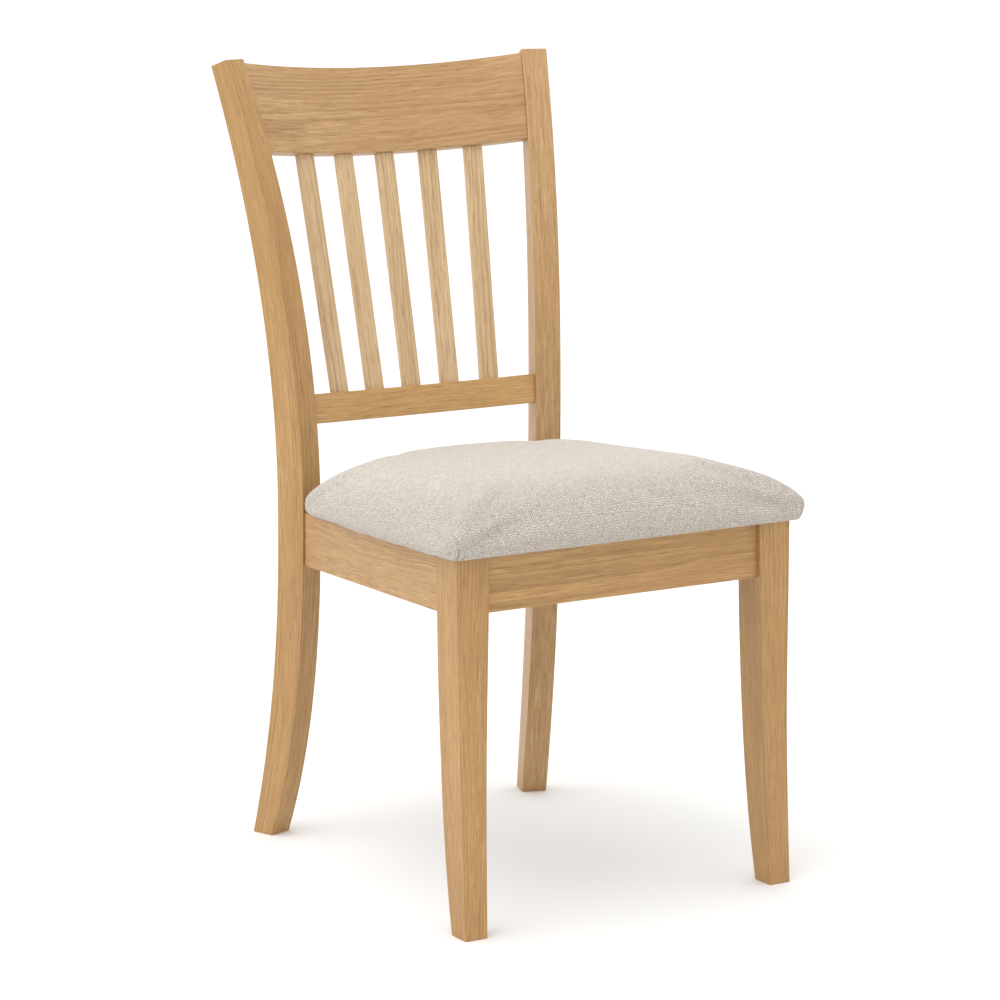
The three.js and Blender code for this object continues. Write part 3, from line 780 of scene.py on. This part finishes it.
def clothMaterial():
    material, tree, shader = newMaterial("wovenCloth")
    coordinates = addNode(tree, "ShaderNodeTexCoord").outputs
    place = addNode(tree, "ShaderNodeSeparateXYZ", {0: coordinates["Object"]}).outputs
    waves = {"Vector": coordinates["Object"], "Scale": 60, "Detail": 2.0}
    wander = addNode(tree, "ShaderNodeTexNoise", waves).outputs["Color"]
    wander = calcVector(tree, "MULTIPLY", calcVector(tree, "SUBTRACT", wander, (0.5,) * 3), (0.003,) * 3)
    spot = calcVector(tree, "ADD", layFlat(tree, place), wander)
    cells = {"Vector": spot, "Scale": 1 / cloth["pitch"], "Randomness": 0.75}
    pebble = addNode(tree, "ShaderNodeTexVoronoi", cells, voronoi_dimensions="2D", feature="F1")
    ridge = addNode(tree, "ShaderNodeTexVoronoi", cells, voronoi_dimensions="2D", feature="DISTANCE_TO_EDGE")
    mound = grade(tree, ridge.outputs["Distance"], 0.0, 0.34)
    yarn = {"Vector": spot, "Scale": 1700, "Detail": 3.0, "Roughness": 0.7}
    fuzz = addNode(tree, "ShaderNodeTexNoise", yarn).outputs[0]
    patch = addNode(tree, "ShaderNodeTexNoise", {"Vector": spot, "Scale": 22, "Detail": 3.0}).outputs[0]
    own = addNode(tree, "ShaderNodeSeparateColor", {0: pebble.outputs["Color"]}).outputs
    base = blendColour(tree, grade(tree, own[0], 0.1, 0.9), cloth["light"], cloth["middle"])
    base = blendColour(tree, grade(tree, own[1], 0.75, 1.0, 0.0, 0.6), base, cloth["fleck"])
    base = blendColour(tree, grade(tree, patch, 0.35, 0.7, 0.0, 0.3), base, cloth["middle"])
    # painted shade: the gaps between pebbles darken, more so lower down and toward the front, where less
    # light falls
    level = calc(tree, "ADD", place[2], calc(tree, "MULTIPLY", place[1], chair["seatSlope"] + cloth["lean"]))
    crown = chair["seatHeight"] + chair["seatSlope"] * yShift + pad["edge"]
    high, low = (crown + rise for rise in cloth["gapShadeHeights"])
    gapShadeAmount = grade(tree, level, high, low, *cloth["gapShadeDepth"])
    between = calc(tree, "MULTIPLY", grade(tree, mound, 0.0, 1.0, 1.0, 0.0), gapShadeAmount)
    base = blendColour(tree, between, base, cloth["gap"])
    fold = 0.0
    for inward, height, halfWidth in pleats:
        across = calc(tree, "SUBTRACT", calc(tree, "ABSOLUTE", place[0]), pad["frontHalf"] - inward)
        line = grade(tree, calc(tree, "ABSOLUTE", across), halfWidth, halfWidth * 3, 1.0, 0.0)
        front = pad["front"] + yShift
        line = calc(tree, "MULTIPLY", line, grade(tree, place[1], front + 0.02, front + 0.01))
        top = seatTop(pad["front"]) + height
        line = calc(tree, "MULTIPLY", line, grade(tree, place[2], top, top - 0.006))
        fold = calc(tree, "MAXIMUM", fold, line)
    # painted shade along the fold lines; the same mask dents the bump below
    base = blendColour(tree, calc(tree, "MULTIPLY", fold, 0.55), base, cloth["foldShade"])
    tree.links.new(base, shader.inputs["Base Color"])
    height = calc(tree, "MULTIPLY", mound, grade(tree, own[2], 0.0, 1.0, 0.65, 1.0))
    height = calc(tree, "ADD", height, calc(tree, "MULTIPLY", fuzz, 0.35))
    height = calc(tree, "SUBTRACT", height, calc(tree, "MULTIPLY", fold, 1.5))
    bump = addNode(tree, "ShaderNodeBump", {"Strength": 0.8, "Distance": cloth["relief"], "Height": height})
    tree.links.new(bump.outputs[0], shader.inputs["Normal"])
    shader.inputs["Roughness"].default_value = 0.95
    shader.inputs["Sheen Weight"].default_value = cloth["sheen"]
    shader.inputs["Sheen Roughness"].default_value = 0.6
    return material


mesh = padMesh()
bm = bmesh.new()
bm.from_mesh(mesh)
for f in bm.faces:
    f.smooth = True
bmesh.ops.smooth_vert(bm, verts=bm.verts, factor=0.5, use_axis_x=True, use_axis_y=True, use_axis_z=True)
bm.to_mesh(mesh)
bm.free()
hangLip(mesh)
mesh.materials.append(clothMaterial())
cushion = bpy.data.objects.new("seatPad", mesh)
bpy.context.scene.collection.objects.link(cushion)
rounder = cushion.modifiers.new("rounder", "SUBSURF")
rounder.levels = rounder.render_levels = 1
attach(cushion, "root")
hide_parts("seat_cover", "seat_foam")
print("seat pad made")

beech = dict(
    oak,
    pale=tint(230, 202, 168),
    light=tint(221, 190, 152),
    middle=tint(206, 170, 128),
    dark=tint(186, 146, 104),
    coat=0.0,
    roughness=(0.6, 0.75),
)


def paintNode(nodeName, material):  # for CAD nodes that stay
    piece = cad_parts[nodeName]
    piece.data.materials.clear()
    piece.data.materials.append(material)


def plainNoiseMaterial(name, first, second, scale, roughness, metallic=0.0):
    material, tree, shader = newMaterial(name)
    spot = addNode(tree, "ShaderNodeTexCoord").outputs["Object"]
    specks = {"Vector": spot, "Scale": scale, "Detail": 4.0, "Roughness": 0.65}
    speck = addNode(tree, "ShaderNodeTexNoise", specks).outputs[0]
    base = blendColour(tree, grade(tree, speck, 0.35, 0.68), first, second)
    tree.links.new(base, shader.inputs["Base Color"])
    matt = grade(tree, speck, 0.3, 0.7, roughness - 0.06, roughness + 0.06)
    tree.links.new(matt, shader.inputs["Roughness"])
    bump = addNode(tree, "ShaderNodeBump", {"Strength": 0.4, "Distance": 0.0003, "Height": speck})
    tree.links.new(bump.outputs[0], shader.inputs["Normal"])
    shader.inputs["Metallic"].default_value = metallic
    return material


zinc = plainNoiseMaterial("zincPlate", tint(205, 198, 168), tint(176, 168, 140), 900, 0.35, 1.0)
lining = plainNoiseMaterial("blackLining", tint(30, 30, 33), tint(46, 46, 50), 2400, 0.9)
plywood = plainNoiseMaterial("plywood", tint(214, 184, 140), tint(190, 156, 110), 240, 0.75)
dowelWood = plainNoiseMaterial("dowelBeech", tint(221, 190, 152), tint(200, 164, 122), 700, 0.7)
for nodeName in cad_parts:
    if "screw" in nodeName:
        paintNode(nodeName, zinc)
    if nodeName.startswith("dowel"):
        paintNode(nodeName, dowelWood)
    if nodeName.startswith("corner_block"):
        low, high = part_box(nodeName)
        slope = -1 if ("left" in nodeName) == ("front" in nodeName) else 1
        timber = woodMaterial(
            "beech_" + nodeName, beech, (1, slope, 0), (0, 0, 1), (0.05, 0.05), high.x, (low + high) / 2,
        )
        paintNode(nodeName, timber)
paintNode("dust_cover", lining)
paintNode("seat_board", plywood)
print("hidden parts painted")

studio = {
    "floor": tint(251, 251, 250),
    "skyBack": 1.15,  # behind the chair
    "skyFront": 0.77,  # behind the camera
    "skyTop": 1.3,
    "key": 27,
    "keySize": 2.4,
}
view = {
    "place": (-2.3004, -3.41586, 1.2588),
    "tilt": math.radians(79.5161),
    "turn": math.radians(-31.8724),
    "lens": 128.44,
}


def addLight(name, location, target, size, power):
    data = bpy.data.lights.new(name, "AREA")
    data.shape = "DISK"
    data.size = size
    data.energy = power
    lamp = bpy.data.objects.new(name, data)
    lamp.location = location
    lamp.rotation_euler = (Vector(target) - Vector(location)).to_track_quat("-Z", "Y").to_euler()
    bpy.context.scene.collection.objects.link(lamp)


def makeStudio():
    bm = bmesh.new()
    bmesh.ops.create_circle(bm, cap_ends=True, segments=96, radius=30)
    mesh = bpy.data.meshes.new("floor")
    bm.to_mesh(mesh)
    bm.free()
    floor = bpy.data.objects.new("floor", mesh)
    bpy.context.scene.collection.objects.link(floor)
    material, tree, shader = newMaterial("paleFloor")
    shader.inputs["Base Color"].default_value = studio["floor"]
    shader.inputs["Roughness"].default_value = 0.9
    mesh.materials.append(material)
    floor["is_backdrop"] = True
    world = bpy.data.worlds.new("studioSky")
    world.use_nodes = True
    tree = world.node_tree
    direction = addNode(tree, "ShaderNodeTexCoord").outputs["Generated"]
    away = addNode(tree, "ShaderNodeSeparateXYZ", {0: direction}).outputs
    level = grade(tree, away[1], -0.7, 0.2, studio["skyFront"], studio["skyBack"])
    rise = grade(tree, away[2], 0.25, 0.95)
    level = choose(tree, rise, level, studio["skyTop"])
    tree.nodes["Background"].inputs[0].default_value = (1, 1, 1, 1)
    tree.links.new(level, tree.nodes["Background"].inputs[1])
    bpy.context.scene.world = world
    addLight("keyLight", (-1.2, -0.3, 3.2), (0, 0, 0.5), studio["keySize"], studio["key"])


def makeCamera():
    data = bpy.data.cameras.new("camera")
    data.sensor_width = 36
    data.lens = view["lens"]
    data.clip_end = 60
    camera = bpy.data.objects.new("camera", data)
    camera.location = placed(*view["place"])
    camera.rotation_euler = (view["tilt"], 0, view["turn"])
    bpy.context.scene.collection.objects.link(camera)
    bpy.context.scene.camera = camera


makeStudio()
makeCamera()
bpy.context.scene.view_settings.view_transform = "Standard"
print("studio made")

low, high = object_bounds()
